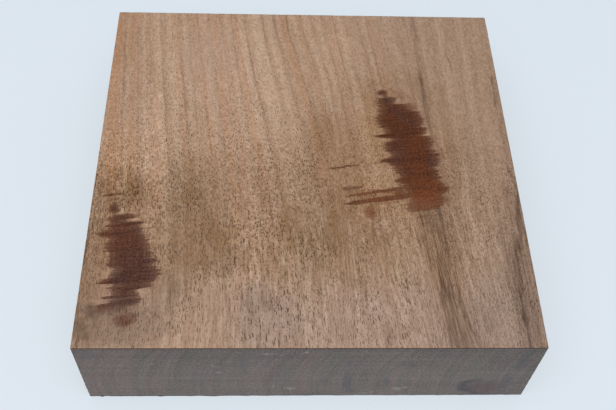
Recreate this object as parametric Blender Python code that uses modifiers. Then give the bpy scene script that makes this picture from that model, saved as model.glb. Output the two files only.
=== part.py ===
"""Square turning blank of Caucasian walnut: one block of solid wood, planed on its two broad faces
and sawn on its four narrow ones. A woodturner screws a faceplate to a broad face and turns a bowl
or platter from it.

Frame, in metres: the origin is the centre of the underside and +Z is up. The grain runs along Y,
so the two end-grain faces look towards -Y and +Y, and X runs across the grain.
"""

import bpy

# Driving dimensions, in metres
SIDE = 0.200  # across and along the grain alike: a nominal 8 inch square
THICKNESS = 0.050  # a nominal 2 inch plank
ARRIS = 0.0003  # planer and saw leave the edges sharp, and handling only just breaks them
ARRIS_STEPS = 2  # facets across each broken edge

# Finish of the planed wood
WALNUT_COLOUR = (0.376, 0.251, 0.165, 1.0)
WALNUT_ROUGHNESS = 0.62

PART_NAME = "walnut_turning_blank"
BLOCK_NAME = "walnut_block"


def clear_scene():
    """Remove whatever the file held before."""
    for thing in list(bpy.data.objects):
        bpy.data.objects.remove(thing, do_unlink=True)


def make_collection(name):
    """A collection for the part's own pieces."""
    collection = bpy.data.collections.new(name)
    bpy.context.scene.collection.children.link(collection)
    return collection


def walnut_material():
    """Bare walnut, neither oiled nor polished."""
    material = bpy.data.materials.new("walnut")
    material.use_nodes = True
    shader = material.node_tree.nodes["Principled BSDF"]
    shader.inputs["Base Color"].default_value = WALNUT_COLOUR
    shader.inputs["Roughness"].default_value = WALNUT_ROUGHNESS
    shader.inputs["Metallic"].default_value = 0.0
    material.diffuse_color = WALNUT_COLOUR
    return material


def make_block(collection, material):
    """The blank itself: a square slab that stands on its underside, with every edge just broken."""
    bpy.ops.mesh.primitive_cube_add(size=1.0, location=(0.0, 0.0, THICKNESS / 2))
    block = bpy.context.active_object
    block.name = BLOCK_NAME
    block.data.name = BLOCK_NAME
    block.scale = (SIDE, SIDE, THICKNESS)
    # The arris is a real width, so the scale goes into the mesh before the bevel is added.
    bpy.ops.object.transform_apply(location=False, rotation=False, scale=True)

    arris = block.modifiers.new("broken_edges", "BEVEL")
    arris.width = ARRIS
    arris.segments = ARRIS_STEPS
    arris.limit_method = "ANGLE"

    block.data.materials.append(material)
    for other in list(block.users_collection):
        other.objects.unlink(block)
    collection.objects.link(block)
    return block


def main():
    clear_scene()
    collection = make_collection(PART_NAME)
    make_block(collection, walnut_material())


main()
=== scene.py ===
"""A square turning blank of Caucasian walnut: one block of bare wood, planed on its two broad faces and
sawn on its four narrow ones.

The frame gives the block's size and place. This file gives it its finish: growth rings, fibre and pores that
run along Y, the stains and streaks of the top face, saw lines and a knot on the end grain, and worn edges.
"""

import math
from types import SimpleNamespace

import bmesh
import bpy
from bpy.props import FloatProperty, FloatVectorProperty, IntProperty, PointerProperty
from mathutils import Matrix, Vector, noise


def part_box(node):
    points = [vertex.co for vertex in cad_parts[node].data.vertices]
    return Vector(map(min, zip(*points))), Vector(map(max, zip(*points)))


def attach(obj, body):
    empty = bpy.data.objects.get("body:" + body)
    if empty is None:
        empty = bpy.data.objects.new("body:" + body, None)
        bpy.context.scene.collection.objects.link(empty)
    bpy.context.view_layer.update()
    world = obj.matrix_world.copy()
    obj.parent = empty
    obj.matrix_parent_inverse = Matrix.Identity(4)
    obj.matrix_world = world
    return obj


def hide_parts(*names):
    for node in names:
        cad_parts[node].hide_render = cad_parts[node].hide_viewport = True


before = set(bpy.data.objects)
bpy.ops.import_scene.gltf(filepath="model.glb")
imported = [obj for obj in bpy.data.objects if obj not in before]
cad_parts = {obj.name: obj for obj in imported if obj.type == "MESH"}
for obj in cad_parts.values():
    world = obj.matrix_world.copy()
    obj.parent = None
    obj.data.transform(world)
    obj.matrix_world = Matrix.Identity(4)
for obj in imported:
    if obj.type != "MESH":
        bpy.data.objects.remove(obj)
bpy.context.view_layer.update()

bl_info = {
    "name": "Walnut Turning Blank",
    "version": (1, 0, 0),
    "blender": (4, 5, 0),
    "location": "3D View > Sidebar > Walnut Blank",
    "description": "A turning blank of Caucasian walnut, with its studio floor, light and camera",
    "category": "Add Mesh",
}

BODY = "root"
CAD_NODE = "walnut_block"
PIECE = "walnut_block_wood"
BAKE_MAP = "OFBake"
MM = 0.001  # one millimetre, in metres
RELIEF = 0.1 * MM  # how deep the fine relief of the wood is, which its material gives
GLOSS = 0.1  # bare wood and pale board are both dull

LOW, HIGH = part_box(CAD_NODE)
LENGTHS = HIGH - LOW


def eye(red, green, blue):
    """A colour as the eye picks it, 0 to 255, in the linear numbers that a shader takes."""
    shares = (red / 255, green / 255, blue / 255)
    return tuple(c / 12.92 if c <= 0.04045 else ((c + 0.055) / 1.055) ** 2.4 for c in shares)


# Settings that a user would change


def number_setting(name, description, default, least=0.0, **kind):
    """A number that a user may change."""
    return FloatProperty(name=name, description=description, default=default, min=least, **kind)


def length_setting(name, description, default, least=0.0):
    """A length that a user may change."""
    return number_setting(name, description, default, least, unit="LENGTH")


def place_setting(name, description, default):
    """A place, or three lengths, that a user may change."""
    return FloatVectorProperty(
        name=name, description=description, size=3, default=default, subtype="XYZ", unit="LENGTH"
    )


def steps_setting(name, description, default):
    """A count of mesh steps that a user may change."""
    return IntProperty(name=name, description=description, default=default, min=8)


def colour_setting(name, description, default):
    """A colour that a user may change."""
    return FloatVectorProperty(
        name=name, description=description, size=3, default=default, min=0.0, max=1.0, subtype="COLOR"
    )


class BlockSettings(bpy.types.PropertyGroup):
    """Sizes of the block and of the marks that tools and handling left on it."""

    size: place_setting("Size", "Across the grain, along the grain, and thickness", tuple(LENGTHS))
    arris: length_setting("Arris", "Radius that handling has worn on a sound edge", 0.25 * MM, 0.05 * MM)
    nibble: length_setting(
        "Nibbled edge", "How much larger that radius is where an edge has crumbled", 0.7 * MM
    )
    saw_relief: length_setting(
        "Saw marks", "Height of the marks that the saw left on the narrow faces", 0.035 * MM
    )
    plane_relief: length_setting(
        "Planer waves", "Height of the waves that the planer left on the broad faces", 0.02 * MM
    )
    burr: length_setting(
        "Burr", "Length of the fibres torn out where the saw left the front end grain", 0.55 * MM
    )
    steps_across: steps_setting("Steps across", "Mesh steps along each side of a broad face", 112)
    steps_thick: steps_setting("Steps through", "Mesh steps through the thickness", 144)


class FinishSettings(bpy.types.PropertyGroup):
    """Colours of the bare wood and of what has marked it."""

    heartwood: colour_setting("Heartwood", "Most of the planed wood", eye(176, 141, 115))
    pale: colour_setting("Pale wood", "Early wood between the rings", eye(194, 165, 137))
    warm: colour_setting("Warm wood", "Orange bands that follow the rings", eye(180, 134, 102))
    grey: colour_setting("Grey wood", "The cooler wood towards the right", eye(153, 124, 103))
    olive: colour_setting("Darker clouds", "Cloudy olive patches", eye(141, 106, 72))
    pink: colour_setting("Pink wood", "The pinker wood along the front", eye(166, 136, 116))
    ring: colour_setting("Ring line", "Late wood at the end of each ring", eye(112, 82, 60))
    pore: colour_setting("Pore", "Inside the open pores", eye(60, 35, 16))
    streak: colour_setting("Dark streak", "Grey streaks along the grain", eye(82, 59, 45))
    stain: colour_setting("Stain", "Most of the two stains", eye(84, 44, 24))
    stain_red: colour_setting("Red stain", "The redder part of the stains", eye(112, 59, 30))
    stain_purple: colour_setting("Purple stain", "The darker part of the stains", eye(80, 57, 52))
    end_grain: colour_setting("End grain", "The sawn ends", eye(116, 108, 103))
    end_red: colour_setting("Red end grain", "The redder bands of the sawn ends", eye(121, 107, 103))
    end_green: colour_setting("Greenish end grain", "The greener bands of the sawn ends", eye(108, 106, 96))
    lip: colour_setting("Scorched lip", "The thin dark line along the front top edge", eye(78, 54, 40))
    end_blue: colour_setting("Blue end grain", "The cooler parts of the sawn ends", eye(92, 90, 94))
    edge_grain: colour_setting("Edge grain", "The sawn long edges", eye(150, 122, 100))
    knot: colour_setting("Knot", "The knot in the front end grain", eye(99, 83, 83))
    fleck: colour_setting("Fleck", "Pale dust on the sawn ends", eye(190, 186, 178))


class StageSettings(bpy.types.PropertyGroup):
    """The floor, the light and the camera."""

    floor: colour_setting("Floor", "The pale floor", eye(226, 234, 241))
    floor_glow: number_setting(
        "Floor glow",
        "Share of the floor's brightness that is its own, as on a light table",
        0.62,
        max=1.0,
        subtype="FACTOR",
    )
    sky: colour_setting("Surroundings", "The colour of the studio round the block", eye(222, 232, 242))
    sky_strength: number_setting("Surroundings strength", "Brightness of the studio round the block", 0.62)
    lamp_power: number_setting("Lamp power", "Power of the soft lamp overhead", 14.0, unit="POWER")
    lamp_width: length_setting("Lamp width", "Width of the soft lamp overhead", 1.6, 0.1)
    lamp_place: place_setting("Lamp place", "Where the soft lamp hangs", (-0.1, -0.55, 1.25))
    camera_place: place_setting("Camera place", "Where the camera stands", (-0.01818, -0.26158, 0.38444))
    camera_turn: FloatVectorProperty(
        name="Camera turn",
        description="How the camera is turned",
        size=3,
        default=tuple(math.radians(angle) for angle in (35.047, -2.246, -1.161)),
        subtype="EULER",
        unit="ROTATION",
    )
    lens: number_setting("Lens", "Focal length, in millimetres on a sensor 36 mm wide", 51.45, 10.0)


# Shader maths


def both_ways(operation):
    """A Math node's operation as a Python operator: with the value on its left, and reflected."""

    def value_first(value, other):
        return value.finish.math(operation, value, other)

    def value_last(value, other):
        return value.finish.math(operation, other, value)

    return value_first, value_last


class Value:
    """A socket that gives a number, a vector or a colour. Python's operators on it add Math nodes."""

    __add__, __radd__ = both_ways("ADD")
    __sub__, __rsub__ = both_ways("SUBTRACT")
    __mul__, __rmul__ = both_ways("MULTIPLY")
    __truediv__, __rtruediv__ = both_ways("DIVIDE")
    __pow__, __rpow__ = both_ways("POWER")

    def __init__(self, finish, socket):
        self.finish = finish
        self.socket = socket

    def __abs__(self):
        return self.finish.math("ABSOLUTE", self)

    def also(self, output):
        """Another output of the same node."""
        return Value(self.finish, self.socket.node.outputs[output])


def draw_curve(mapping, points):
    """Put a Float Curve's points where they belong, joined by a line that doesn't overshoot."""
    line = mapping.curves[0]
    for place in points[1:-1]:
        line.points.new(*place)
    line.points[0].location = points[0]
    line.points[-1].location = points[-1]
    for point in line.points:
        point.handle_type = "AUTO_CLAMPED"
    mapping.extend = "HORIZONTAL"
    mapping.update()


class Finish:
    """One material, whose nodes are written as Python expressions."""

    def __init__(self, name):
        self.material = bpy.data.materials.new(name)
        self.material.use_nodes = True
        self.tree = self.material.node_tree
        self.shader = self.tree.nodes["Principled BSDF"]

    def node(self, kind, settings, sockets, output=0):
        """Add a node: its settings come first, and then the values or links of its sockets."""
        made = self.tree.nodes.new(kind)
        for name, value in settings.items():
            if name == "curve":
                draw_curve(made.mapping, value)
            else:
                setattr(made, name, value)
        for name, value in sockets.items():
            self.feed(made.inputs[name], value)
        return Value(self, made.outputs[output])

    def feed(self, socket, value):
        """Give a socket a link or a fixed value."""
        if isinstance(value, Value):
            self.tree.links.new(value.socket, socket)
        elif socket.type == "RGBA":
            socket.default_value = (*tuple(value)[:3], 1.0)
        else:
            socket.default_value = value

    def math(self, operation, *values):
        return self.node("ShaderNodeMath", {"operation": operation}, dict(enumerate(values)))

    def least(self, first, second):
        return self.math("MINIMUM", first, second)

    def most(self, first, second):
        return self.math("MAXIMUM", first, second)

    def vector(self, x, y, z=0.0):
        return self.node("ShaderNodeCombineXYZ", {}, {"X": x, "Y": y, "Z": z})

    def line(self, value, slope, offset):
        """The value times slope, plus offset."""
        return self.math("MULTIPLY_ADD", value, slope, offset)

    def rise(self, value, start, end, top=1.0):
        """0 up to start, top from end on, and smooth between them. A start above end makes it fall."""
        settings = {"interpolation_type": "SMOOTHSTEP", "clamp": False}
        return self.node("ShaderNodeMapRange", settings, {"Value": value, 1: start, 2: end, 4: top})

    def curve(self, value, points):
        """A line drawn through points of (input, output), in any order, and level past its ends."""
        points = sorted(points)
        starts = [point[0] for point in points]
        ends = [point[1] for point in points]
        low, high, bottom, top = starts[0], starts[-1], min(ends), max(ends)
        if top == bottom:
            return bottom
        shares = [((a - low) / (high - low), (b - bottom) / (top - bottom)) for a, b in points]
        share = self.node("ShaderNodeMapRange", {"clamp": False}, {"Value": value, 1: low, 2: high})
        drawn = self.node("ShaderNodeFloatCurve", {"curve": shares}, {"Value": share})
        return self.line(drawn, top - bottom, bottom)

    def noise(self, *place, detail=2.0, roughness=0.5):
        """Even noise about 0, mostly from -1 to 1, for a place of two or three lengths."""
        sockets = {"Vector": self.vector(*place), "Scale": 1.0, "Detail": detail, "Roughness": roughness}
        return self.line(self.node("ShaderNodeTexNoise", {}, sockets), 4.0, -2.0)

    def cells(self, across, along):
        """The distance to the nearest of many scattered points, in the plane."""
        sockets = {"Vector": self.vector(across, along), "Scale": 1.0}
        return self.node("ShaderNodeTexVoronoi", {"voronoi_dimensions": "2D"}, sockets)

    def mix(self, below, above, share):
        """A colour laid over another."""
        sockets = {0: share, 6: below, 7: above}
        return self.node("ShaderNodeMix", {"data_type": "RGBA"}, sockets, output=2)

    def shade(self, colour, strength):
        """A colour made lighter or darker."""
        return self.node("ShaderNodeVectorMath", {"operation": "SCALE"}, {0: colour, "Scale": strength})

    def tint(self, colour, warmth):
        """A colour made redder and less blue by this share, or the other way below 0."""
        balance = self.vector(1.0 + warmth * 0.6, 1.0, 1.0 - warmth)
        return self.node("ShaderNodeVectorMath", {"operation": "MULTIPLY"}, {0: colour, 1: balance})

    def done(self, colour, roughness, height):
        """Wire up the shader and give the material. The height runs from 0 to 1 over the relief's depth."""
        normal = self.node("ShaderNodeBump", {}, {"Strength": 1.0, "Distance": RELIEF, "Height": height})
        self.feed(self.shader.inputs["Base Color"], colour)
        self.feed(self.shader.inputs["Roughness"], roughness)
        self.feed(self.shader.inputs["Normal"], normal)
        self.feed(self.shader.inputs["Specular IOR Level"], GLOSS)
        return self.material


# How the wood grew. All lengths here are millimetres, with x across the grain, y along it and z up.

HALF = LENGTHS.x / 2 / MM
THICK = LENGTHS.z / MM
PITH_LEVEL = 12.0  # the tree's heart lies far to the right, level with this height
RING_RADIUS = 80.0  # of the rings near the right side

# How far the rings have wandered to the right by the middle of the plank, for each place across it
WANDER = (
    (-100, 7), (-90, 7.5), (-75, 9.5), (-57, 12), (-40, 12), (-17, 16), (9, 19), (14, 17),
    (22, 13), (44, 12), (55, 8), (64, 4), (76, 1), (100, -2),
)
# How much of that has happened at each place along it
WANDER_ALONG = (
    (100, 0), (80, 0.17), (65, 0.34), (50, 0.5), (40, 0.6), (20, 0.8), (0, 1), (-20, 1.15),
    (-45, 1.3), (-75, 1.4), (-100, 1.45),
)
# Near the front right corner the grain leans further to the right
LEAN = ((12, 0), (35, 6), (55, 10), (70, 10), (84, 3), (94, 0))
LEAN_ALONG = ((-100, 1.0), (-75, 0.6), (-50, 0.25), (-25, 0.0))

# Where each ring's dark line meets the back edge of the top face, how dark it is, and its half width
RING_LINES = (
    (-96.5, 0.9, 0.8), (-89.5, 0.5, 1), (-83.5, 0.4, 0.8), (-77.5, 0.85, 0.8), (-68.5, 0.7, 1.3),
    (-63.5, 0.5, 0.8), (-58, 0.6, 0.8), (-51.5, 0.4, 0.9), (-45.5, 0.55, 0.8), (-39.5, 0.5, 0.9),
    (-32.5, 0.75, 0.9), (-23.5, 0.45, 1), (-16.5, 0.6, 1.1), (-10, 1, 1), (-2.5, 0.65, 0.9),
    (3, 0.4, 0.8), (9.5, 0.7, 0.9), (15.5, 0.75, 1), (21.5, 0.5, 0.9), (28.5, 0.6, 1),
    (33.5, 0.6, 0.9), (41.5, 0.4, 1), (50.5, 0.45, 1.4), (57.5, 0.4, 0.9), (68.5, 0.35, 1),
    (81.5, 0.35, 1), (89.5, 0.4, 1), (98.5, 0.4, 0.9),
)
# Orange bands that follow the rings, in the same way
WARM_BANDS = (
    (-100.5, 1, 3.6), (-92, 0.6, 1.6), (-80.5, 0.3, 2), (-70.5, 0.6, 2.2), (-57.5, 0.75, 1.6),
    (-49.5, 0.8, 2.2), (-43.5, 0.5, 2), (-37.5, 0.7, 2), (-28.5, 0.15, 2), (-12, 0.9, 2),
    (-4.5, 0.35, 2.5), (12.5, 0.2, 2.5), (35.5, 0.25, 4),
)
# The pale bands between them, in the same way
PALE_BANDS = (
    (-94.5, 0.4, 1.2), (-86.5, 0.5, 1.6), (-79.5, 0.8, 3), (-73.5, 0.7, 2.2), (-65.5, 0.4, 1.8),
    (-54.5, 0.3, 2), (-42, 0.5, 1.6), (-35, 0.5, 1.8), (-27.5, 0.8, 3.2), (-20, 0.6, 2.6),
    (-6.5, 0.35, 1.6), (0.5, 0.6, 2), (6.5, 0.4, 2.2), (18.5, 0.4, 2.4), (31.5, 0.5, 1.5),
    (45.5, 0.3, 3), (63.5, 0.35, 2.4), (73.5, 0.4, 3), (84.5, 0.3, 2.6),
)


def bands(finish, place, lines):
    """Soft bands: each has its place, its strength and its half width."""
    points = {}
    for middle, strength, width in lines:
        for across, level in ((middle - width, 0.0), (middle, strength), (middle + width, 0.0)):
            points[across] = max(points.get(across, 0.0), level)
    return finish.curve(place, tuple(points.items()))


def two_halves(finish, place, lines, joint):
    """Bands drawn on two curves, because one holds too few steps for fine lines over the whole width."""
    left = [line for line in lines if line[0] < joint]
    right = [line for line in lines if line[0] >= joint]
    return bands(finish, place, left) + bands(finish, place, right)


def find_place(finish):
    """Where a point lies in the plank: across, along, up, and the ring that it is on."""
    seen = finish.node("ShaderNodeTexCoord", {}, {}, output="Object")
    scaled = finish.node("ShaderNodeVectorMath", {"operation": "SCALE"}, {0: seen, "Scale": 1 / MM})
    x = finish.node("ShaderNodeSeparateXYZ", {}, {0: scaled}, output="X")
    y, z = x.also("Y"), x.also("Z")
    wander = finish.curve(x, WANDER) * finish.curve(y, WANDER_ALONG)
    lean = finish.curve(x, LEAN) * finish.curve(y, LEAN_ALONG)
    rise = (THICK - PITH_LEVEL) ** 2 / (2 * RING_RADIUS)
    fall = (z - PITH_LEVEL) ** 2 / (2 * RING_RADIUS)
    waver = finish.noise(x / 12, y / 26, z / 22, detail=2.0) * 0.55
    ring = x - wander - lean + rise - fall + waver
    return SimpleNamespace(x=x, y=y, z=z, ring=ring)


def fibre_noise(finish, at, width, length, detail=2.0, shift=0.0):
    """Noise drawn out along the grain, into streaks of about this width and length."""
    place = (at.ring / width + shift, at.y / length, at.z / width)
    return finish.noise(*place, detail=detail, roughness=0.55)


def pores(finish, across, along, spacing, length, size):
    """Open pores: one dark dash to a cell at most, of chance size, 0 outside them and 1 inside."""
    gap = finish.cells(across / spacing, along / length)
    chance = finish.node("ShaderNodeSeparateXYZ", {}, {0: gap.also("Color")}, output="X")
    reach = finish.most(size * (1.25 * chance - 0.25), 0.001)
    return finish.rise(gap, reach, reach * 0.5)


# Marks on the top face. Lengths are millimetres still.


def spot(finish, at, x, y, half_x, half_y, lean, strength):
    """A soft oval cloud. Its lean is how far it moves to the right for each step to the back."""
    shift = (lean * y - x) / half_x
    if lean:
        shift = finish.line(at.y, -lean / half_x, shift)
    dx = finish.line(at.x, 1 / half_x, shift)
    dy = finish.line(at.y, 1 / half_y, -y / half_y)
    outward = finish.line(dy, dy, finish.line(dx, dx, at.ragged))
    return finish.rise(outward, 1.5, 0.05, strength)


def spots(finish, at, places):
    """Several clouds as one."""
    return all_over(finish, (spot(finish, at, *place) for place in places))


def all_over(finish, masks):
    """Several masks as one, the strongest showing at each point."""
    total = 0.0
    for mask in masks:
        total = finish.most(total, mask)
    return total


def edge_points(edge, shape):
    """An edge's points of (y, x) as (level, x) on the scale that follows the teeth."""
    return [(y - shape.slope * (x - shape.middle), x) for y, x in edge]


def blot(finish, at, shape):
    """How far a point lies inside a blot, in millimetres, and the blot's strength there."""
    level = at.y - shape.slope * (at.x - shape.middle)
    left = finish.curve(level, edge_points(shape.left, shape))
    right = finish.curve(level, edge_points(shape.right, shape))
    teeth = finish.noise(at.x / 25, level / 0.8, detail=1.0, roughness=0.7)
    fringe = finish.noise(at.x / 14, level / 2.4, detail=1.0)
    ragged = teeth * shape.jag + fringe + at.speck * 0.9
    inside = finish.least(at.x - left, right - at.x) + ragged
    return inside, finish.curve(level, shape.strength)


def soaked(finish, inside):
    """How dark a blot is, for how far inside its edge a point lies: soft at the edge, and full further in."""
    return finish.rise(inside, -1.6, 1.1, 0.84) + finish.rise(inside, 0.8, 5.0, 0.16)


LEFT_STAIN = SimpleNamespace(
    slope=0.12, middle=-80, jag=1.2,
    left=(
        (-32, -90), (-33, -91), (-36, -91.2), (-40, -91),
        (-42.4, -92), (-44.5, -95.2), (-45.2, -90.8), (-52.6, -90.8), (-53.6, -88.8),
        (-60, -88.8), (-61.6, -86.2), (-64.6, -86.4), (-66.4, -88), (-69, -91.2), (-70, -86.6),
        (-75.2, -86.2), (-76.4, -89.6), (-77.6, -86.8), (-79.6, -89), (-82.4, -92), (-84, -89),
        (-85.6, -83.6), (-88.6, -82.6), (-91.6, -80),
    ),
    right=(
        (-32, -82), (-33.2, -80), (-35, -80), (-35.8, -83.6), (-36.8, -81.6), (-37.4, -75.4),
        (-38.8, -77.8), (-40.6, -75.2), (-43.4, -74.6), (-47, -72.8), (-50, -71.9),
        (-52, -71.6), (-54.4, -70), (-56.8, -69), (-57.6, -67.2),
        (-58.6, -69.2), (-62, -67.6), (-64, -66.4), (-66.4, -67), (-68.8, -69), (-70.8, -69.4),
        (-72.2, -75), (-75.6, -74.8), (-77.4, -73.4), (-79.2, -75), (-80.8, -77.4), (-82.8, -78.6),
        (-84.4, -74.8), (-88, -75.2), (-89.8, -78.2), (-91.6, -80),
    ),
    strength=(
        (-31.8, 0), (-33, 0.88), (-36, 0.95), (-37, 0.9),
        (-38.4, 1), (-40, 0.9), (-41.4, 0.97), (-69, 1), (-70, 0.9), (-71, 0.97), (-75.6, 0.98),
        (-76.4, 0.82), (-77.4, 0.95), (-80, 0.8), (-82, 0.45), (-83.4, 0.3), (-85.4, 0.5),
        (-88.4, 0.55), (-90.6, 0.15), (-92.6, 0),
    ),
)
RIGHT_STAIN = SimpleNamespace(
    slope=0.14, middle=50, jag=1.3,
    left=(
        (42.4, 37.6), (40.4, 36.6), (38, 36.2), (35, 37),
        (30, 36.6), (27, 35.4), (24, 34.8), (22.4, 35.4), (20, 37.6), (17.6, 38.6), (16.4, 39.6),
        (15.5, 36), (14.1, 32.8), (13.9, 37), (13.3, 37.8), (12.8, 41.4), (12, 41), (10.5, 38.4),
        (7, 37.8), (5.4, 37.9), (4, 39.4), (2.2, 40.4), (0.4, 38), (-1.7, 34.4), (-1.6, 39),
        (-3.4, 40.5), (-7.5, 42.6), (-10.6, 44), (-11.8, 41.6), (-13.4, 42.2), (-14.6, 44),
        (-16, 45.6), (-19, 46), (-24, 47), (-28, 46), (-30.6, 47), (-32, 50),
    ),
    right=(
        (42.4, 43.6), (40.6, 44.4), (39, 45.2), (36.6, 45),
        (35.9, 46.4), (35.4, 51.6), (32, 52.2), (31.2, 55), (30, 57), (27.4, 58), (21.4, 58.2),
        (19.4, 59.6), (17.6, 59.4), (16.4, 58.8), (15.9, 56.8), (15.5, 56.6), (15, 58.6),
        (14, 60.4), (10.4, 61.8), (7.6, 61), (5.6, 62.8), (3, 64.4), (0.6, 63.6), (-2.6, 63.8),
        (-4.2, 62.4), (-6, 62.2), (-8, 63.7), (-11.6, 63.9), (-13.4, 65), (-18, 65.7),
        (-20.6, 64.3), (-25, 63.9), (-27.4, 62.4), (-28.4, 60.4), (-30, 57), (-31.5, 51),
    ),
    strength=(
        (42.4, 0), (41.4, 0.6), (40.2, 0.97), (20, 0.99),
        (-20, 0.96), (-25, 0.85), (-29.4, 0.7), (-31.2, 0),
    ),
)
CLOUD = SimpleNamespace(
    slope=0, middle=0, jag=1.2,
    left=((16, -60), (5, -65), (-5, -67), (-20, -63), (-35, -65), (-50, -63), (-68, -58)),
    right=((16, -52), (-10, -50), (-22, -46.5), (-34, -42.5), (-38, -37), (-46, -33), (-68, -37)),
    strength=((18, 0), (5, 0.35), (-10, 0.6), (-30, 0.85), (-54, 0.8), (-68, 0)),
)
# Each cloud has its place, half sizes, lean and strength.
OLIVE_SPOTS = (
    (-55.6, -22.7, 7, 7, 0, 0.9), (-43.6, -42.7, 7, 13, -0.4, 1), (-8.6, -38.7, 8, 17, 0, 0.85),
    (12.4, -42.7, 9, 16, 0, 0.75), (8.4, 13.3, 6, 20, -0.15, 0.6), (22.4, -4.7, 9, 20, 0, 0.45),
    (-17.6, -12.7, 5, 9, 0, 0.5), (-25.6, -36.7, 8, 14, 0, 0.35), (34.4, -40.7, 9, 14, 0, 0.4),
    (3.4, -62.7, 4, 20, 0, 0.5), (-85.6, -12.7, 7, 9, 0, 0.1),
)
PINK_SPOTS = (
    (-24.6, -84.7, 10, 9, 0, 0.8), (-69.6, -90.7, 12, 6, 0, 0.6), (10.4, -88.7, 12, 8, 0, 0.6),
    (80.4, -74.7, 9, 18, 0, 0.7), (-49.6, 69.3, 16, 20, 0, 0.5),
)
# Where the wood is lighter or darker, and warmer or cooler: place, half sizes, lean, and how much of each.
TONES = (
    (-42, 45, 34, 48, -0.1, 0.13, -0.03), (-95, 85, 9, 30, 0, -0.1, 0.06), (-74, 4, 6, 38, -0.1, 0.16, 0),
    (-99, -52, 12, 52, 0, -0.32, 0.08), (-87, -18, 10, 13, 0, -0.22, 0.06), (-82, -90, 24, 12, 0, -0.32, 0),
    (-79, -24, 10, 15, 0, -0.26, 0.1), (-64, -75, 8, 12, 0, -0.22, 0), (-90, -2, 10, 26, 0, 0, 0.07),
    (-54, -40, 18, 42, 0, -0.2, 0.03), (-6, -42, 18, 42, 0, -0.12, 0.02), (13, 2, 17, 34, 0, -0.18, 0.04),
    (20, -46, 24, 30, 0, -0.13, 0.02), (34, 26, 7, 30, 0, -0.12, 0.08), (34, 0, 34, 42, 0, 0, 0.06),
    (27, -25, 18, 12, 0.1, -0.07, 0.06), (48, 50, 15, 12, -0.4, -0.12, 0.05),
    (69, 12, 7, 40, 0, -0.12, 0.05), (60, -44, 12, 40, -0.05, -0.18, 0.02), (98, -62, 12, 52, 0, -0.2, 0),
    (78, -10, 14, 36, 0, -0.1, 0.03), (50, -92, 70, 26, 0, 0, -0.05), (-20, -88, 16, 20, 0, -0.07, -0.06),
    (88, -72, 16, 36, 0, -0.05, -0.02), (-34, -56, 7, 8, 0, -0.14, 0), (-25, -76, 8, 9, 0, -0.14, 0),
    (68, -90, 12, 14, 0, -0.14, 0), (60, -68, 7, 38, -0.12, 0, 0.08), (-90, -82, 9, 3.5, 0.1, -0.1, -0.05),
    (50, 35, 9, 6, -0.4, -0.14, 0.04), (34, 42, 6, 10, 0, -0.1, 0.02), (17, 72, 10, 24, 0, 0.1, 0),
    (100, 26, 4, 50, 0, -0.14, 0), (61, 46, 5, 16, 0, -0.1, 0.03),
)
# Patches of redder stain, laid out as the clouds are
RED_SPOTS = (
    (53.5, 11, 5, 11, 0, 0.15), (53.5, -5, 5, 5, 0, 0.3), (55, -14, 12, 5, 0.1, 0.45),
    (55, -23, 10, 8, 0.1, 0.8), (48, 0, 5, 12, 0, 0.15), (32, -22, 14, 5, 0.14, 0.55),
    (-85, -46, 8, 9, 0, 0.3), (-76, -58, 8, 16, 0, 0.2),
)
# Round blots beside the two large ones
SMALL_BLOTS = (
    (38.8, 43.3, 3, 2.3, 0, 0.92), (40.3, 41.2, 2, 0.9, 0, 0.6), (-89, -29.8, 3.2, 3, 0, 0.88),
    (45.5, -19.8, 6, 3, 0.2, 0.6), (52, 33.5, 4, 3.4, -0.3, 0.6),
)
# Faint brown stains outside the large ones
BROWN_SPOTS = (
    (28.7, -30.5, 2.8, 4.8, 0, 0.7), (33, -24.5, 12, 2.2, 0.15, 0.35), (32, -19.4, 12, 1.6, 0.15, 0.3),
    (46, 42, 8, 4, -0.5, 0.25), (40, -19.4, 9, 1.6, 0.14, 0.6), (34, -21.6, 14, 1.6, 0.16, 0.4),
    (-79, -86.7, 5, 3.4, 0.5, 0.38), (-84, -81.5, 10, 3, 0.12, 0.2),
)
# Patches of darker stain
PURPLE_SPOTS = (
    (47.8, 28, 4, 9, -0.75, 0.3), (43, 37, 4, 5, 0, 0.25), (43.4, 5, 6, 10, 0.1, 0.28),
    (60.8, 0.5, 3, 6, 0, 0.4), (47, -5, 5, 7, 0, 0.12), (-80, -56, 16, 36, 0, 0.36),
    (-76, -62, 13, 15, 0, 0.65), (-85, -65.5, 3, 7, 0, 0.7), (-82, -79, 9, 6, 0, 0.8),
)


def stroke(finish, at, start, end, thin, thick, strength):
    """A smear that widens from start to end, pointed at its start, with ragged edges."""
    run, climb = end[0] - start[0], end[1] - start[1]
    share = finish.line(at.x, 1 / run, -start[0] / run)
    level = finish.line(share, -climb, at.y - start[1])
    half = finish.line(share, (thick - thin) / 2, thin / 2) * finish.rise(share, -0.03, 0.15)
    inside = finish.rise(half - abs(level) + at.fuzz, -0.4, 0.5)
    return inside * finish.rise(abs(share - 0.5), 0.52, 0.45, strength)


def strokes(finish, at, places):
    """Several smears as one."""
    return all_over(finish, (stroke(finish, at, *place) for place in places))


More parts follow.
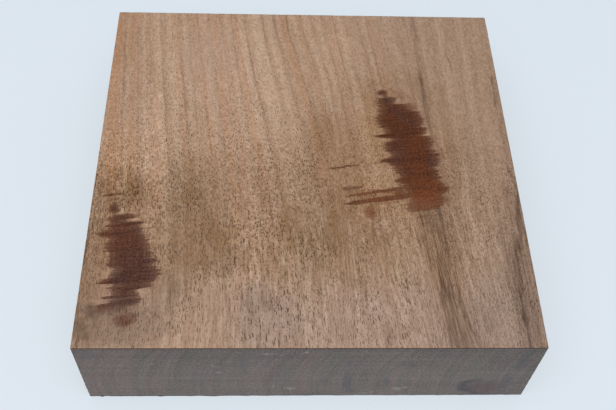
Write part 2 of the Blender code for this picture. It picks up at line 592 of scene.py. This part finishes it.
# Each smear has its start, its end, its thickness at each of them, and its strength. The dark ones lie within
# the stains and at their sides, and the others outside them.
DARK_STROKES = (
    ((-92, -39.8), (-76.3, -37.3), 0.8, 1.7, 0.7), ((-94, -44.8), (-75, -41.4), 0.9, 2.2, 0.6),
    ((-91.5, -35.2), (-79, -33.4), 1, 0.8, 0.6), ((-91, -53.4), (-72, -50.8), 0.6, 0.8, 0.35),
    ((-90.5, -69.3), (-66.5, -65.8), 1.4, 2, 0.6), ((-88.5, -66), (-77, -64), 5, 4, 0.6),
    ((-82, -72.4), (-68.6, -70.4), 0.8, 0.9, 0.85), ((-89.8, -77), (-74, -75), 0.5, 0.7, 0.75),
    ((-95, -80.8), (-73.4, -77.6), 0.8, 1.4, 0.45), ((34, 14.1), (57, 17.2), 0.9, 1.1, 0.85),
    ((35.6, -1.8), (62, 2.3), 0.9, 1, 0.8), ((36, 37.6), (46, 39), 1.6, 2.6, 0.75),
    ((42, -13.6), (62, -10), 1.2, 1, 0.3), ((44, -6.4), (60, -4), 0.5, 0.6, 0.35),
    ((47, -30.6), (62, -28.4), 0.6, 0.6, 0.5), ((37, 7), (60, 10.4), 0.6, 0.7, 0.3),
)
STROKES = (
    ((16.5, -22.4), (52, -15.4), 1.2, 2.4, 0.82), ((15.5, -26.6), (52, -20.6), 1.8, 3.8, 0.84),
    ((10.5, -5.8), (25, -3.4), 1.4, 1, 0.9), ((15.5, -18), (26, -16.4), 2.4, 1.8, 0.6),
    ((49, -34), (60, -32), 1.3, 0.8, 0.4), ((50, -37.6), (56, -36.8), 0.6, 0.6, 0.4),
    ((-95.5, -22.8), (-86.5, -21.1), 1, 1.1, 0.85), ((12, -25.8), (17.5, -24.4), 0.8, 0.8, 0.3),
)


def streak(finish, at, points):
    """A dark streak along the grain, through points of (y, x, half width, strength)."""
    middle = finish.curve(at.y, [(y, x) for y, x, half, strength in points])
    half = finish.curve(at.y, [(y, half) for y, x, half, strength in points])
    strength = finish.curve(at.y, [(y, strength) for y, x, half, strength in points])
    return finish.rise(abs(at.x - middle + at.waver) / half, 1.3, 0.2) * strength


STREAKS = (
    (
        (-26.7, 57.7, 2.2, 0), (-34.7, 58, 2.2, 0.4), (-45.7, 58.2, 1.8, 0.45), (-52.7, 58.2, 1.6, 0.6),
        (-60.7, 58.2, 1.5, 0.95), (-68.7, 58.7, 1.4, 0.95), (-76.7, 59.5, 1.2, 0.7), (-84.7, 60.5, 1.2, 0.5),
        (-92.7, 61.4, 1.2, 0.3), (-100, 62.2, 1.2, 0.2),
    ),
    (
        (-29.7, 51.8, 0.5, 0), (-34.7, 52, 0.6, 0.7), (-42.7, 52.5, 0.6, 0.7), (-50.7, 53.2, 0.5, 0.6),
        (-60.7, 54, 0.6, 0.65), (-70.7, 55.7, 0.7, 0.6), (-80.7, 57.7, 1, 0.6), (-90.7, 60, 2, 0.6),
        (-100, 62.7, 2.4, 0.6),
    ),
    (
        (-24.7, 60.7, 0.7, 0), (-34.7, 61, 1.5, 0.85), (-42.7, 61.4, 1.4, 0.7), (-52.7, 62.2, 0.8, 0.6),
        (-62.7, 62.8, 0.8, 0.55), (-72.7, 64.5, 0.8, 0.7), (-82.7, 66, 0.8, 0.65), (-92.7, 68.6, 0.9, 0.6),
        (-100, 71, 0.9, 0.55),
    ),
    (
        (-24.7, 56.2, 3, 0), (-36.7, 57.6, 6.5, 0.55), (-60.7, 59.2, 5.2, 0.55), (-80.7, 60.7, 5.6, 0.6),
        (-100, 63, 6, 0.55),
    ),
    ((-30.7, 32.4, 0.3, 0), (-34.7, 32.5, 0.35, 0.6), (-40.7, 32.7, 0.35, 0.55), (-46.7, 32.8, 0.3, 0)),
    (
        (-6.7, 99.8, 0.8, 0), (-18.7, 99.4, 1.6, 0.65), (-30.7, 98.2, 2.2, 0.8), (-40.7, 97, 2.1, 0.8),
        (-48.7, 95.2, 2, 0.85), (-58.7, 93.8, 1.7, 0.75), (-66.7, 93, 2, 0.9), (-76.7, 92.2, 1.9, 0.85),
        (-84.7, 91.7, 2, 0.9), (-92.7, 92.2, 1.8, 0.75), (-100, 92.4, 1.8, 0.65),
    ),
    (
        (-10, 99, 3, 0), (-40, 97, 5, 0.3), (-60, 94, 5, 0.3), (-80, 92.4, 5.5, 0.3), (-100, 93, 6, 0.3),
    ),
    ((-0.7, 97.6, 0.5, 0), (-8.7, 96.6, 0.8, 0.5), (-16.7, 95, 0.8, 0.45), (-24.7, 93.2, 0.7, 0)),
    (
        (100, 59.2, 1.6, 0.25), (79.3, 59.4, 1.4, 0.35), (63.3, 59.8, 1.3, 0.5), (55.3, 60, 1.3, 0.6),
        (45.3, 60, 1.6, 0.7), (35.3, 60.4, 1.9, 0.65), (27.3, 61, 1.7, 0.55), (15.3, 62.4, 1.4, 0.5),
        (3.3, 65, 0.8, 0.3), (-8.7, 65.6, 0.6, 0),
    ),
    ((83.3, 75.2, 0.4, 0), (75.3, 75.4, 0.5, 0.45), (67.3, 76, 0.6, 0.6), (59.3, 76.8, 0.5, 0)),
    ((59.3, 98, 0.4, 0), (49.3, 97.6, 0.9, 0.7), (41.3, 97, 0.9, 0.7), (33.3, 96, 0.4, 0)),
    ((-76.7, -100.3, 0.6, 0), (-84.7, -98.8, 0.5, 0.6), (-92.7, -97.6, 0.5, 0.6), (-99.7, -96.6, 0.4, 0.2)),
    ((-34.7, -100.8, 1.5, 0), (-42.7, -100.2, 1.8, 0.7), (-54.7, -100.4, 1.6, 0.6), (-62.7, -100.8, 1.4, 0)),
)


# Materials

PLANED_ROUGHNESS = 0.66
EDGE_ROUGHNESS = 0.75
END_ROUGHNESS = 0.8
# The middle of the round saw that ripped the long edges, along the grain and up
SAW_MIDDLE = SimpleNamespace(y=-60.0, z=-170.0)


def bare_wood(finish, at, colours):
    """Planed wood with its rings, bands and fibre, but without pores or marks. at keeps the ring lines."""
    broad = fibre_noise(finish, at, 7.0, 240.0, detail=2.0)
    middling = fibre_noise(finish, at, 2.4, 80.0, detail=1.0, shift=17.0)
    hair = fibre_noise(finish, at, 0.9, 11.0, detail=1.0, shift=7.0)
    fleck = fibre_noise(finish, at, 0.9, 1.5, detail=1.0, shift=31.0)
    front = finish.rise(at.y, 5.0, -70.0) * (finish.rise(abs(at.x - 12.0), 80.0, 40.0) * 0.45 + 0.55)
    centre = finish.rise(abs(at.y + 22), 45.0, 15.0) * finish.rise(at.x, 85.0, 60.0)
    fade = finish.curve(at.y, ((100, 1.0), (40, 0.9), (0, 0.7), (-40, 0.4), (-100, 0.25)))
    colour = finish.mix(colours.heartwood, colours.pale, finish.rise(broad, 0.1, 1.2) * 0.45)
    colour = finish.mix(colour, colours.grey, finish.rise(broad, -0.1, -1.1) * 0.3)
    colour = finish.mix(colour, colours.grey, finish.rise(at.x + at.y * 0.12, 5.0, 80.0) * 0.6)
    colour = finish.mix(colour, colours.pale, two_halves(finish, at.ring, PALE_BANDS, -31) * 0.6)
    colour = finish.mix(colour, colours.warm, two_halves(finish, at.ring, WARM_BANDS, -46) * fade * 0.7)

    broken = fibre_noise(finish, at, 9.0, 9.0, detail=2.0, shift=3.0)
    long_fade = fibre_noise(finish, at, 30.0, 46.0, detail=1.0, shift=13.0)
    lines = two_halves(finish, at.ring, RING_LINES, -20)
    prominent = finish.rise(abs(at.ring + 10), 5.0, 2.0) * 0.6
    worn_off = finish.most(finish.rise(at.y, -35.0, 30.0) * 0.75 + 0.25, prominent)
    lines = finish.most(lines * (0.75 + 0.4 * broken + 0.4 * long_fade) * worn_off, 0.0)
    at.lines = lines
    colour = finish.mix(colour, colours.ring, lines * 0.42)
    fine = hair * (0.08 + 0.4 * front) + fleck * (0.22 + 0.2 * centre - 0.04 * front)
    light = fine + middling * 0.04
    return finish.tint(finish.shade(colour, 1.0 + light), light * -0.25)


# How plainly the short pores show at each place along the planed faces
SHORT_PORES = ((100, 0.4), (60, 0.5), (30, 0.75), (0, 0.95), (-45, 0.9), (-70, 0.75), (-100, 0.55))


def planed_pores(finish, at, across):
    """Pores of a planed face: dots where the grain dives, and dashes towards the front."""
    left = finish.rise(at.x, 85.0, 45.0) * 0.15 + 0.85
    front = finish.rise(at.y + at.x * 0.3, 0.0, -55.0) * left
    patchy = finish.noise(at.x / 12, at.y / 20, at.z / 14, detail=2.0)
    quiet = 1.0 - 0.6 * finish.rise(at.x, 35.0, 75.0) * finish.rise(at.y, -20.0, 25.0)
    corner = finish.rise(at.x, 45.0, 75.0) * finish.rise(at.y, -25.0, -55.0)
    dots = pores(finish, across, at.y, 0.8, 1.6, 0.34 + corner * 0.1)
    dashes = pores(finish, across + 41.3, at.y + 17.0, 0.85, 2.8, 0.31)
    long_ones = finish.most(
        pores(finish, across + 11.0, at.y, 0.75, 5.4, 0.3),
        pores(finish, across + 63.7, at.y + 5.0, 0.85, 8.5, 0.27),
    )
    short_ones = finish.most(dots, dashes * 0.95) * finish.curve(at.y, SHORT_PORES)
    shown = finish.most(short_ones, long_ones * front * 0.95)
    return shown * finish.least(0.72 + 0.42 * patchy + 0.4 * at.lines, 1.0) * quiet


def planed_relief(finish, at, colour, open_pores):
    """Give planed wood its sheen and its relief, with the pores sunk in it."""
    height = 0.5 + fibre_noise(finish, at, 0.9, 6.0, detail=1.0, shift=31.0) * 0.1 - open_pores * 0.5
    return finish.done(colour, PLANED_ROUGHNESS + open_pores * 0.15, height)


def with_surface_notes(finish, at):
    """Add the shared noises that make the edges of marks ragged, and let the place itself waver a little.
    Cycles works out first all that needs no noise, and can hold only 255 numbers: since the place waits for a
    noise, each mark is worked out and merged in its turn."""
    at.ragged = finish.noise(at.x / 5, at.y / 7, detail=3.0, roughness=0.6) * 0.45
    smudge = finish.noise(at.x / 5, at.y, detail=1.0)
    at.speck = finish.noise(at.x / 0.9, at.y / 0.9, detail=1.0)
    at.fuzz = smudge * 0.4 + at.speck * 0.3
    at.waver = fibre_noise(finish, at, 1.6, 12)
    at.drift = finish.noise(at.x / 14, at.y / 50, detail=2.0)
    at.x = at.x + at.ragged * 0.5
    at.y = at.y + at.ragged * 0.3
    return at


def clouded(finish, at, colours, colour):
    """The top face's slow changes: yellower in its middle, pinker along its front, and lighter or darker in
    patches."""
    drifted = at.y + at.drift * 12
    along = finish.curve(drifted, ((100, 0.0), (50, 0.08), (10, 0.25), (-10, 0.4), (-50, 0.4), (-72, 0.0)))
    middle = along * finish.rise(abs(at.x + 5), 90.0, 50.0)
    cloud, thick = blot(finish, at, CLOUD)
    cloud = finish.rise(cloud, -1.5, 2.5) * thick
    olive = finish.most(finish.most(middle, cloud * 0.75), spots(finish, at, OLIVE_SPOTS) * 0.95)
    colour = finish.mix(colour, colours.olive, olive * (0.8 + at.ragged * 0.5))
    pink = finish.most(finish.rise(drifted, -52.0, -85.0) * 0.5, spots(finish, at, PINK_SPOTS) * 0.6)
    colour = finish.mix(colour, colours.pink, pink)
    light, warmth = 1.0, 0.0
    for *oval, lighter, warmer in TONES:
        here = spot(finish, at, *oval, 1.0)
        light = finish.line(here, lighter, light)
        warmth = finish.line(here, warmer, warmth)
    return finish.tint(finish.shade(colour, light), warmth)


def stained(finish, at, colours, colour, fray):
    """Lay the two stains, and all that belongs to them, over the wood. Gives the colour and their cover."""
    left, left_strength = blot(finish, at, LEFT_STAIN)
    right, right_strength = blot(finish, at, RIGHT_STAIN)
    halo = finish.most(
        finish.rise(left, -5.0, 1.0) * left_strength, finish.rise(right, -7.0, 1.0) * right_strength
    )
    brown = finish.most(halo * 0.22, spots(finish, at, BROWN_SPOTS))
    colour = finish.mix(colour, colours.stain_red, brown)
    cover = finish.most(soaked(finish, left) * left_strength, soaked(finish, right) * right_strength)
    lines = strokes(finish, at, DARK_STROKES)
    cover = finish.most(cover, lines)
    cover = finish.most(cover, strokes(finish, at, STROKES))
    cover = finish.most(cover, spots(finish, at, SMALL_BLOTS))
    across = finish.noise(at.x / 16, (at.y - at.x * 0.12) / 1.5, detail=3.0, roughness=0.6)
    stain = finish.mix(colours.stain, colours.stain_red, spots(finish, at, RED_SPOTS))
    stain = finish.mix(stain, colours.stain_purple, spots(finish, at, PURPLE_SPOTS) * 0.9)
    dust = finish.noise(at.x, at.y / 0.95, detail=1.0)
    grain = across * 0.24 + at.ragged * 0.1 + dust * 0.5 + fray * 0.12
    stain = finish.shade(stain, (1.0 + grain) * (1.0 - lines * 0.3))
    return finish.mix(colour, stain, cover), cover


def planed_face(colours):
    """The top face, with its stains, clouds, strokes and streaks."""
    finish = Finish("walnut_planed_face")
    at = with_surface_notes(finish, find_place(finish))
    colour = clouded(finish, at, colours, bare_wood(finish, at, colours))
    streaks = all_over(finish, (streak(finish, at, points) for points in STREAKS))
    # The same fibres as the bare wood's. They are worked out again, so that Cycles needn't hold them so long.
    fray = fibre_noise(finish, at, 0.9, 11.0, detail=1.0, shift=7.0)
    colour = finish.mix(colour, colours.streak, streaks * finish.least(0.72 - fray * 0.5, 1.0))
    colour, cover = stained(finish, at, colours, colour, fray)
    open_pores = planed_pores(finish, at, at.ring)
    colour = finish.mix(colour, colours.pore, open_pores * (0.95 - cover * 0.6))
    return planed_relief(finish, at, colour, open_pores)


def planed_underside(colours):
    """The other broad face, planed in the same way and clean."""
    finish = Finish("walnut_planed_underside")
    at = find_place(finish)
    colour = bare_wood(finish, at, colours)
    open_pores = planed_pores(finish, at, at.ring)
    colour = finish.mix(colour, colours.pore, open_pores * 0.8)
    return planed_relief(finish, at, colour, open_pores)


def sawn_edge(colours):
    """The two long edges, ripped by a circular saw."""
    finish = Finish("walnut_sawn_edge")
    at = find_place(finish)
    colour = finish.mix(bare_wood(finish, at, colours), colours.edge_grain, 0.5)
    open_pores = planed_pores(finish, at, at.z)
    colour = finish.mix(colour, colours.pore, open_pores * 0.6)
    reach = ((at.y - SAW_MIDDLE.y) ** 2 + (at.z - SAW_MIDDLE.z) ** 2) ** 0.5
    kerf = finish.noise(reach / 1.1, at.y / 90, at.z / 60, detail=2.0, roughness=0.6)
    wide = finish.noise(reach / 5.0, at.y / 90 + 4, at.z / 60, detail=1.0)
    colour = finish.shade(colour, 0.92 + kerf * 0.05 + wide * 0.04)
    height = 0.5 + kerf * 0.2 - open_pores * 0.3
    return finish.done(colour, EDGE_ROUGHNESS, height)


# Pale dust on the front end: each patch has its place across, its height, half length and half height.
FLECKS = (
    (-18, 44.2, 4.5, 0.6), (-13, 43.3, 1.2, 0.5), (-2, 46, 1, 0.8), (-68, 34.5, 0.6, 0.9),
    (-82, 32.6, 0.7, 0.5), (-48, 35, 0.5, 0.8), (-43, 33.6, 2.2, 0.5), (-41, 32, 2.6, 0.5),
    (-40, 26, 1.5, 1.2), (-16, 11, 0.6, 1.6), (-8.5, 8.6, 3, 1.6), (4.5, 39.2, 0.5, 1), (41, 7.6, 3, 1.4),
    (40, 9.2, 1.4, 1.2), (44, 9.6, 2.4, 0.8), (46.3, 18.8, 0.6, 0.8), (29.3, 3.6, 0.6, 1.4),
    (25.5, 3, 2.2, 0.8), (16.5, 8, 0.4, 1.4), (89.5, 7, 0.9, 0.9),
)
# Bluish smudges on it: each has its place across, its height, half width, half height and strength.
SMUDGES = (
    (17.5, 14, 2.2, 10, 0.8), (19, 6, 3, 3.5, 0.7), (35, 16, 1.6, 4, 0.8), (57, 45, 2, 5, 0.6),
    (16.5, 36, 1.2, 4, 0.6), (92, 38, 2.6, 16, 0.6), (89, 13, 2.4, 12, 0.9), (82, 11.8, 0.8, 0.9, 0.9),
    (84.5, 16, 3.4, 1.6, 0.7), (80, 1.5, 14, 1.8, 0.6), (-29, 33, 2, 9, 0.5), (-95, 44, 5, 5, 0.5),
    (7, 17, 2, 5, 0.5), (43, 34, 4, 4, 0.4), (0, 1, 14, 2, 0.6),
)
KNOT = SimpleNamespace(x=79.0, z=10.4, half_width=9.8, half_height=7.6)


def bare_end(finish, at, colours):
    """End grain with its rings and saw lines, but without knot or marks. at keeps what those need, and the
    height that the saw left."""
    at.front = finish.rise(at.y, 10.0, -10.0)
    at.bend = finish.noise(at.x / 6, at.z / 6, detail=2.0)
    upright = finish.noise(at.ring / 2.6, at.z / 60, detail=2.0, roughness=0.6)
    at.cloud = finish.noise(at.x / 22, at.z / 14, detail=3.0)
    redder = finish.rise(at.x - at.z * 0.2, -60.0, -95.0)
    colour = finish.mix(colours.end_grain, colours.end_red, finish.rise(upright + redder, -0.6, 2.4))
    colour = finish.mix(colour, colours.end_blue, finish.rise(at.cloud, 0.2, 1.8) * 0.5)
    wide = finish.noise(at.ring / 6.0, at.z / 90, 3.0, detail=1.0)
    colour = finish.mix(colour, colours.end_red, finish.rise(wide, 0.1, 0.8) * 0.6)
    colour = finish.mix(colour, colours.end_green, finish.rise(wide, -0.1, -0.8) * 0.5)
    rings = two_halves(finish, at.ring, RING_LINES, -20)
    colour = finish.mix(colour, colours.ring, rings * 0.16)

    kerf = finish.noise(at.x / 60, at.z / 0.9, detail=3.0, roughness=0.7)
    passes = finish.noise(at.x / 120 + 5, at.z / 3.6, detail=1.0)
    grit = finish.noise(at.x / 0.95, at.z / 1.05, detail=1.0)
    fall = finish.curve(at.z, ((50, -0.16), (44, -0.12), (35, -0.06), (25, 0.0), (0, 0.02)))
    fall = fall - finish.rise(at.x, 55.0, 100.0) * 0.08
    at.height = 0.5 + kerf * 0.2 + grit * 0.05
    light = 1.0 + kerf * 0.09 + passes * 0.07 + grit * 0.26 + upright * 0.12 + at.cloud * 0.07
    return finish.shade(colour, light + fall * at.front)


def oval_distance(at, across, level, half_width, half_height):
    """How far a point of the end grain lies from an oval's middle, squared: 1 on the oval itself."""
    u, v = (at.x - across) / half_width, (at.z - level) / half_height
    return u * u + v * v


def knotted(finish, at, colours, colour):
    """The knot near the foot of the front end, with its darker rim."""
    dx, dz = (at.x - KNOT.x) / KNOT.half_width, (at.z - KNOT.z) / KNOT.half_height
    out = (dx * dx + dz * dz) ** 0.5 + at.bend * 0.16 - 0.08 * at.cloud
    heart = finish.rise(out + dz * 0.2, 1.1, 0.6) * at.front
    rim = finish.rise(abs(out - 0.9), 0.36, 0.0) * at.front * finish.rise(dx + at.bend * 0.3, 0.4, -0.6)
    colour = finish.mix(colour, colours.knot, heart * (0.5 + at.bend * 0.3))
    colour = finish.mix(colour, colours.end_blue, rim * 0.7)
    return finish.shade(colour, 1.0 - rim * 0.16)


def sawn_end(colours):
    """The two end-grain faces, crosscut, with the knot, the marks and a painted shadow along the foot of the
    front one.
    """
    finish = Finish("walnut_sawn_end")
    at = find_place(finish)
    colour = bare_end(finish, at, colours)
    smudges = (
        finish.rise(oval_distance(at, *oval) + at.bend * 0.7, 1.7, -0.3) * strength
        for *oval, strength in SMUDGES
    )
    colour = finish.mix(colour, colours.end_blue, all_over(finish, smudges) * at.front * 0.75)
    colour = knotted(finish, at, colours, colour)

    dust = finish.rise(finish.noise(at.x, at.z / 0.8, detail=3.0), -0.3, 0.9)
    flecks = (finish.rise(oval_distance(at, *oval), 1.4, 0.0) for oval in FLECKS)
    colour = finish.mix(colour, colours.fleck, all_over(finish, flecks) * dust * at.front * 0.8)

    lip = finish.rise(at.z, THICK - 1.1, THICK - 0.5)
    colour = finish.mix(colour, colours.lip, lip * 0.85)
    # Painted shadow: the lowest millimetre of the front end's left part is darkened, standing in for the
    # shade in the gap under its torn fibres.
    foot = finish.rise(at.z, 1.2, 0.3) * finish.rise(at.x, -20.0, -60.0) * at.front
    colour = finish.shade(colour, 1.0 - foot * 0.6)
    return finish.done(colour, END_ROUGHNESS, at.height)


# The block's mesh


def grain_wave(x, y, z, scale):
    """Smooth noise about 0 for a place in millimetres."""
    return noise.noise(Vector((x, y, z)) * scale)


def crowd_edges(share, amount):
    """A share of the way across, from -0.5 to 0.5, with the mesh's steps finer towards both edges."""
    return share + amount * math.sin(2 * math.pi * share) / (2 * math.pi)


def worn_radius(place, settings):
    """The radius worn on the nearest edge, in millimetres, with a few crumbled spots."""
    slow = grain_wave(*place, 0.045)
    quick = grain_wave(*(place + Vector((50, 50, 50))), 0.35)
    crumbled = max(0.0, slow + 0.6 * quick - 0.35)
    return settings.arris / MM * (1 + 0.5 * quick) + settings.nibble / MM * crumbled


def saw_mark(place, normal, settings):
    """How far a point of a face stands out, in millimetres, from what its tool left there."""
    x, y, z = place
    if abs(normal.z) > 0.5:
        return settings.plane_relief / MM * (grain_wave(x, y * 0.3, z, 0.05) - 0.5)
    if abs(normal.y) > 0.5:
        waves = grain_wave(x * 0.02, y, z, 0.75) + 0.6 * grain_wave(x * 0.03, y + 9, z, 0.3)
        return settings.saw_relief / MM * (waves - 0.6)
    reach = math.hypot(y - SAW_MIDDLE.y, z - SAW_MIDDLE.z)
    waves = grain_wave(reach, x, 0.04 * y, 0.45) + 0.6 * grain_wave(reach, x + 9, 0.02 * y, 0.2)
    return settings.saw_relief / MM * (1.3 * waves - 0.8)


TORN_HEIGHT = 0.9  # millimetres above the underside


def torn_fibres(place, settings):
    """How far torn fibres stand out of the front end grain along its lower edge, in millimetres."""
    x, y, z = place
    if y > -HALF + 0.4 or z > TORN_HEIGHT:
        return 0.0
    tuft = max(0.0, grain_wave(x, 3.0, 0.0, 0.6) + 0.5 * grain_wave(x, 8.0, 0.0, 1.9) - 0.12)
    left_side = 1.0 if x < -20 else 0.25
    return settings.burr / MM * left_side * min(1.0, 2.2 * tuft) * (1 - z / TORN_HEIGHT)


def wear(place, settings):
    """Move a point of the sharp box, in millimetres, to its place on the worn one."""
    half = Vector(settings.size) / MM / 2
    middle = Vector((0.0, 0.0, half.z))
    offset = place - middle
    radius = worn_radius(place, settings)
    core = Vector(max(-h + radius, min(h - radius, c)) for c, h in zip(offset, half))
    normal = (offset - core).normalized()
    moved = core + normal * radius
    moved += normal * saw_mark(place, normal, settings)
    moved.y -= torn_fibres(place, settings)
    return moved + middle


# Each side of the block: how a flat grid is turned to it, its material, and its place on the bake map: left,
# bottom, width and height as shares of the map. The top face gets the largest share.
TOP_SHARE = 0.62
UNDERSIDE_SHARE = 0.37
THIN_SHARE = TOP_SHARE * LENGTHS.z / LENGTHS.x
GAP = 0.008
SECOND = TOP_SHARE + GAP
THIRD = SECOND + THIN_SHARE + GAP
HIGHER = UNDERSIDE_SHARE + GAP
SIDES = (
    (Matrix.Identity(3), "planed_face", (0, 0, TOP_SHARE, TOP_SHARE)),
    (Matrix.Rotation(math.pi, 3, "X"), "planed_underside", (SECOND, 0, UNDERSIDE_SHARE, UNDERSIDE_SHARE)),
    (Matrix.Rotation(math.pi / 2, 3, "X"), "sawn_end", (0, SECOND, TOP_SHARE, THIN_SHARE)),
    (Matrix.Rotation(-math.pi / 2, 3, "X"), "sawn_end", (0, THIRD, TOP_SHARE, THIN_SHARE)),
    (Matrix.Rotation(math.pi / 2, 3, "Y"), "sawn_edge", (SECOND, HIGHER, THIN_SHARE, TOP_SHARE)),
    (Matrix.Rotation(-math.pi / 2, 3, "Y"), "sawn_edge", (THIRD, HIGHER, THIN_SHARE, TOP_SHARE)),
)
# How much the mesh's steps crowd towards the edges, across, along and through
EDGE_CROWDING = (0.8, 0.8, 0.5)


def add_side(mesh, uv_layer, turn, slot, island, steps):
    """One side of a unit cube as a grid, with its own part of the bake map."""
    flat_steps = [abs(round(s)) for s in turn.inverted() @ Vector(steps)]
    flat_crowding = [abs(c) for c in turn.inverted() @ Vector(EDGE_CROWDING)]
    grid = bmesh.ops.create_grid(mesh, x_segments=flat_steps[0], y_segments=flat_steps[1], size=0.5)
    left, bottom, width, height = island
    for face in {face for vertex in grid["verts"] for face in vertex.link_faces}:
        face.material_index = slot
        face.smooth = True
        for corner in face.loops:
            u = crowd_edges(corner.vert.co.x, flat_crowding[0]) + 0.5
            v = crowd_edges(corner.vert.co.y, flat_crowding[1]) + 0.5
            corner[uv_layer].uv = (left + width * u, bottom + height * v)
    for vertex in grid["verts"]:
        vertex.co = turn @ Vector((vertex.co.x, vertex.co.y, 0.5))


def block_mesh(settings, materials):
    """The whole block: six grids welded into one closed skin and then worn to shape."""
    mesh = bmesh.new()
    uv_layer = mesh.loops.layers.uv.new(BAKE_MAP)
    steps = (settings.steps_across, settings.steps_across, settings.steps_thick)
    slots = list(materials)
    for turn, material, island in SIDES:
        add_side(mesh, uv_layer, turn, slots.index(material), island, steps)
    bmesh.ops.remove_doubles(mesh, verts=mesh.verts, dist=1e-5)
    size = Vector(settings.size) / MM
    for vertex in mesh.verts:
        eased = Vector(crowd_edges(c, a) for c, a in zip(vertex.co, EDGE_CROWDING))
        sharp = Vector((eased.x * size.x, eased.y * size.y, (eased.z + 0.5) * size.z))
        vertex.co = wear(sharp, settings) * MM
    made = bpy.data.meshes.new(PIECE)
    mesh.to_mesh(made)
    mesh.free()
    for material in materials.values():
        made.materials.append(material)
    return made


def add_object(name, data):
    """A new object in the scene."""
    made = bpy.data.objects.new(name, data)
    bpy.context.scene.collection.objects.link(made)
    return made


# Stage

FLOOR_ROUGHNESS = 0.9
FLOOR_LIGHT = 0.96  # strength of the light from within the floor, in its own colour
FLOOR_HALF = 4.0  # metres
FLOOR_GAP = 0.02 * MM  # keeps the floor clear of the block's underside


def floor_material(stage):
    """Pale board that is partly lit from within, so that shadows on it stay faint."""
    finish = Finish("pale_board")
    looks = {"Base Color": stage.floor, "Roughness": FLOOR_ROUGHNESS, "Specular IOR Level": GLOSS}
    for name, value in looks.items():
        finish.feed(finish.shader.inputs[name], value)
    glow = finish.node("ShaderNodeEmission", {}, {"Color": stage.floor, "Strength": FLOOR_LIGHT})
    cover = finish.node(
        "ShaderNodeMixShader", {}, {0: stage.floor_glow, 1: Value(finish, finish.shader.outputs[0]), 2: glow}
    )
    finish.feed(finish.tree.nodes["Material Output"].inputs["Surface"], cover)
    return finish.material


def add_floor(stage):
    """A wide floor just under the block."""
    mesh = bmesh.new()
    bmesh.ops.create_grid(mesh, x_segments=8, y_segments=8, size=FLOOR_HALF)
    made = bpy.data.meshes.new("studio_floor")
    mesh.to_mesh(made)
    mesh.free()
    made.materials.append(floor_material(stage))
    floor = add_object("studio_floor", made)
    floor.location.z = LOW.z - FLOOR_GAP


def add_light(stage):
    """Even light from all round, and a broad soft lamp overhead."""
    world = bpy.data.worlds.new("studio")
    world.use_nodes = True
    background = world.node_tree.nodes["Background"]
    background.inputs["Color"].default_value = (*stage.sky, 1.0)
    background.inputs["Strength"].default_value = stage.sky_strength
    bpy.context.scene.world = world

    lamp = bpy.data.lights.new("soft_lamp", "AREA")
    lamp.shape = "DISK"
    lamp.size = stage.lamp_width
    lamp.energy = stage.lamp_power
    holder = add_object("soft_lamp", lamp)
    holder.location = stage.lamp_place
    holder.rotation_euler = (-holder.location).to_track_quat("-Z", "Y").to_euler()


def add_camera(stage):
    """The camera stands in front of the block and looks down on it."""
    camera = bpy.data.cameras.new("camera")
    camera.sensor_width = 36.0
    camera.lens = stage.lens
    camera.clip_start = 0.01
    camera.clip_end = 50.0
    holder = add_object("camera", camera)
    holder.location = stage.camera_place
    holder.rotation_euler = stage.camera_turn
    bpy.context.scene.camera = holder


# Operators and panel


class WALNUT_OT_add_block(bpy.types.Operator):
    """Add the walnut block in place of the plain CAD solid"""

    bl_idname = "walnut.add_block"
    bl_label = "Add Walnut Block"

    def execute(self, context):
        colours = context.scene.walnut_finish
        materials = {
            "planed_face": planed_face(colours),
            "planed_underside": planed_underside(colours),
            "sawn_end": sawn_end(colours),
            "sawn_edge": sawn_edge(colours),
        }
        block = add_object(PIECE, block_mesh(context.scene.walnut_block, materials))
        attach(block, BODY)
        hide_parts(CAD_NODE)
        return {"FINISHED"}


class WALNUT_OT_add_stage(bpy.types.Operator):
    """Add the pale floor, the soft light and the camera"""

    bl_idname = "walnut.add_stage"
    bl_label = "Add Stage"

    def execute(self, context):
        stage = context.scene.walnut_stage
        add_floor(stage)
        add_light(stage)
        add_camera(stage)
        context.scene.view_settings.view_transform = "Standard"
        return {"FINISHED"}


class VIEW3D_PT_walnut_blank(bpy.types.Panel):
    """Buttons that build the blank and its stage"""

    bl_label = "Walnut Blank"
    bl_space_type = "VIEW_3D"
    bl_region_type = "UI"
    bl_category = "Walnut Blank"

    def draw(self, context):
        for operator in (WALNUT_OT_add_block, WALNUT_OT_add_stage):
            self.layout.operator(operator.bl_idname)
        for settings in (
            context.scene.walnut_block,
            context.scene.walnut_finish,
            context.scene.walnut_stage,
        ):
            box = self.layout.box()
            for name in settings.__annotations__:
                box.prop(settings, name)


SETTINGS = {
    "walnut_block": BlockSettings,
    "walnut_finish": FinishSettings,
    "walnut_stage": StageSettings,
}
OTHER_CLASSES = (WALNUT_OT_add_block, WALNUT_OT_add_stage, VIEW3D_PT_walnut_blank)


def register():
    for name, group in SETTINGS.items():
        bpy.utils.register_class(group)
        setattr(bpy.types.Scene, name, PointerProperty(type=group))
    for other in OTHER_CLASSES:
        bpy.utils.register_class(other)


def unregister():
    for other in reversed(OTHER_CLASSES):
        bpy.utils.unregister_class(other)
    for name, group in reversed(SETTINGS.items()):
        delattr(bpy.types.Scene, name)
        bpy.utils.unregister_class(group)


def main():
    register()
    bpy.ops.walnut.add_block()
    bpy.ops.walnut.add_stage()


if __name__ == "__main__":
    main()
